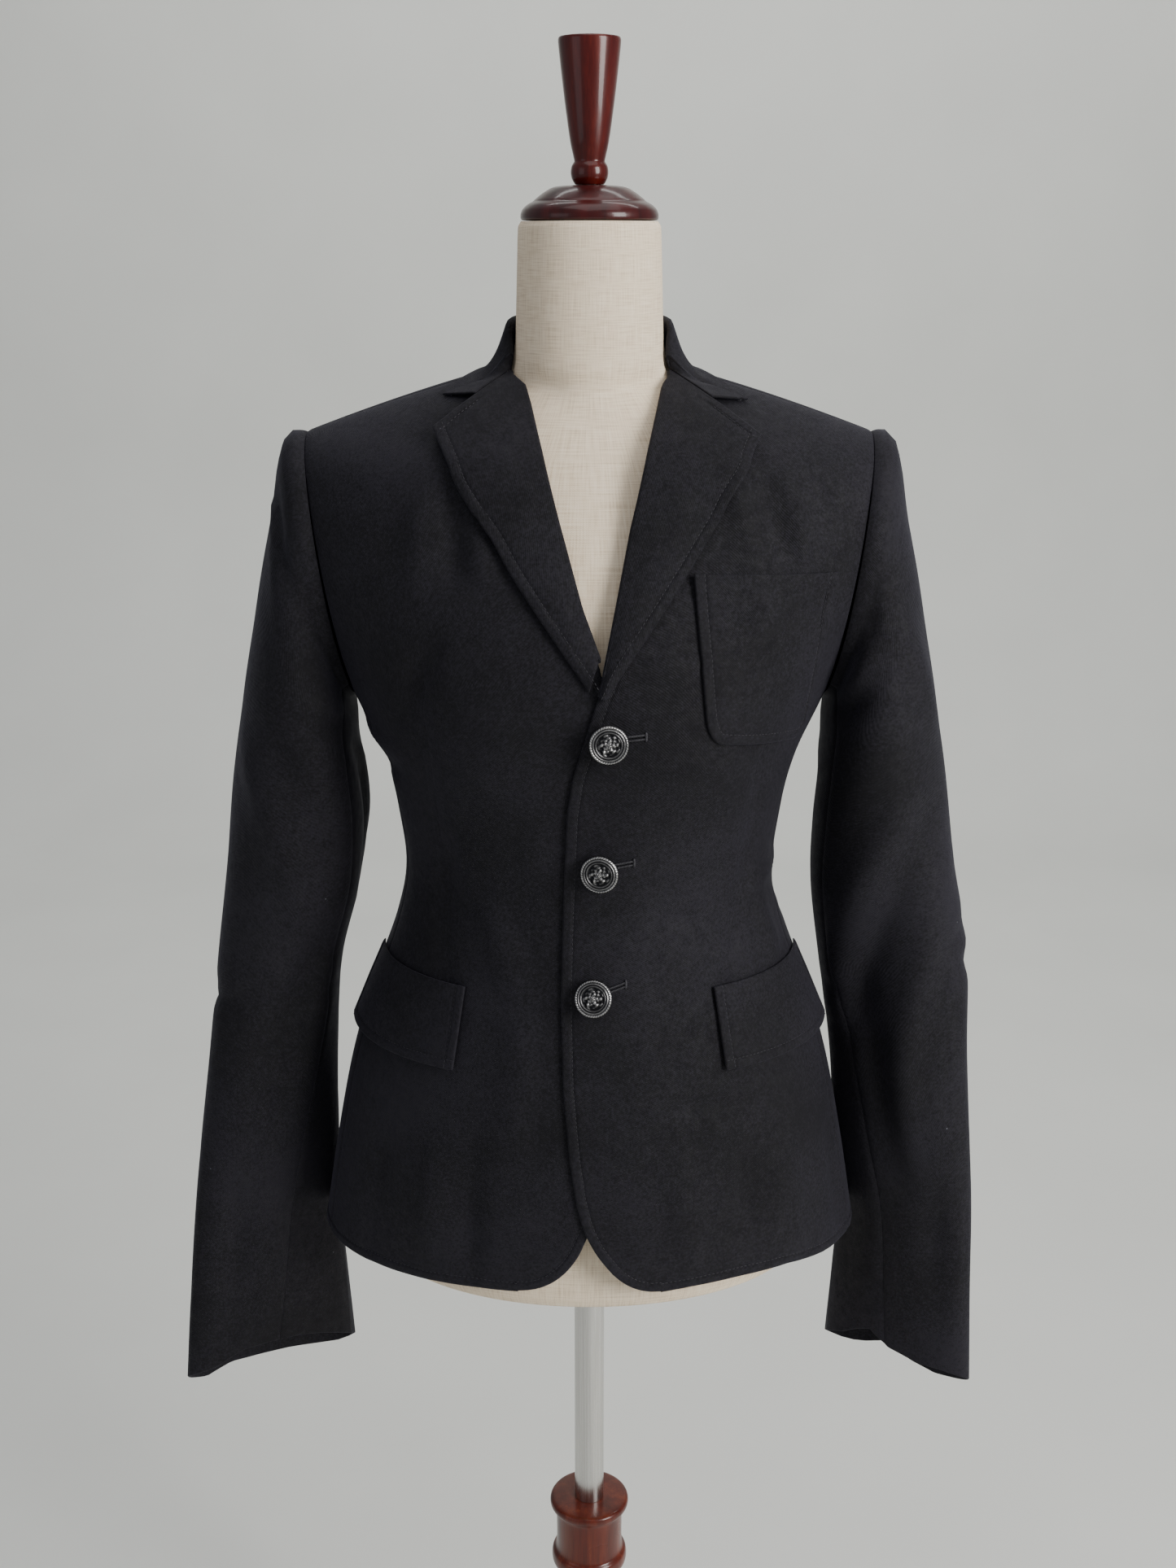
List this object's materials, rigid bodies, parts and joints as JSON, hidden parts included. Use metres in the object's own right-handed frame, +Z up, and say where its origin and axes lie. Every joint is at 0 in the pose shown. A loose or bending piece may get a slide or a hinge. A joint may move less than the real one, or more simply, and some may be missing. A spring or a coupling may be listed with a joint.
{
  "type": "blazer on dress form",
  "caption": "Fitted single-breasted blazer with notch lapels, patch and flap pockets, worn by a limbless dress form on a turned wooden stand.",
  "frame": {"origin": "middle of the bounding box, on the floor under the three feet", "axes": "+Z up along the pole; the blazer faces -Y and the wearer's left is +X"},
  "size_m": [0.5994, 0.3718, 1.5241],
  "materials": {
    "black_twill": "fine black twill with a slight sheen",
    "button_metal": "dark gunmetal, relief worn bright",
    "linen": "plain cream linen",
    "mahogany": "dark red-brown wood under clear gloss",
    "steel": "polished tube"
  },
  "bodies": {
    "root": {"front_left": "black_twill", "front_right": "black_twill", "side_left": "black_twill", "side_right": "black_twill", "back_left": "black_twill", "back_right": "black_twill", "sleeve_top_left": "black_twill", "sleeve_under_left": "black_twill", "sleeve_top_right": "black_twill", "sleeve_under_right": "black_twill", "lapel_left": "black_twill", "lapel_right": "black_twill", "collar": "black_twill", "pocket_chest": "black_twill", "flap_left": "black_twill", "flap_right": "black_twill", "button_1": "button_metal", "button_2": "button_metal", "button_3": "button_metal", "dress_form": "linen", "neck_cap": "mahogany", "finial": "mahogany", "stand_column": "mahogany", "leg_1": "mahogany", "leg_2": "mahogany", "leg_3": "mahogany", "pole": "steel"}
  },
  "joints": []
}
